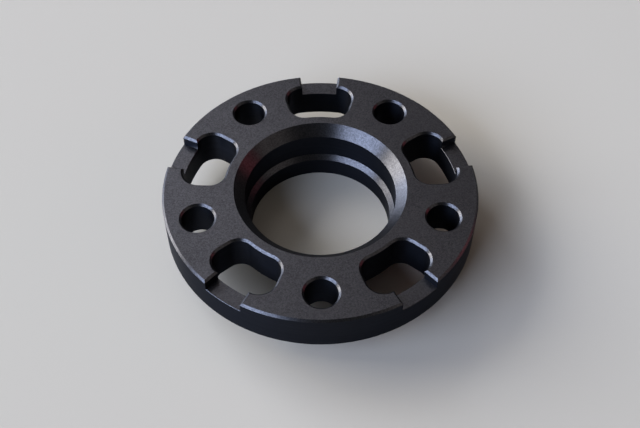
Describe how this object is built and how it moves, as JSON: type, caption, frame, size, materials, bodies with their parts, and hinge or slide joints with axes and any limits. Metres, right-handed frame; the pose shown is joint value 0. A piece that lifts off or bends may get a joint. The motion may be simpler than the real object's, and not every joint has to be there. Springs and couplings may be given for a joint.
{
  "type": "wheel spacer",
  "caption": "Thick round flange that sits between a wheel hub and a wheel, with bolt holes, lightening windows, a central hub bore and a centring lip.",
  "frame": {"origin": "centre of the lip's end, which the spacer stands on", "axes": "+Z along the spacer's axis, out of the hub face; -Y towards one bolt hole"},
  "size_m": [0.15, 0.15, 0.03],
  "materials": {
    "black_anodised_aluminium": "satin"
  },
  "bodies": {
    "root": {"spacer_body": "black_anodised_aluminium"}
  },
  "joints": []
}
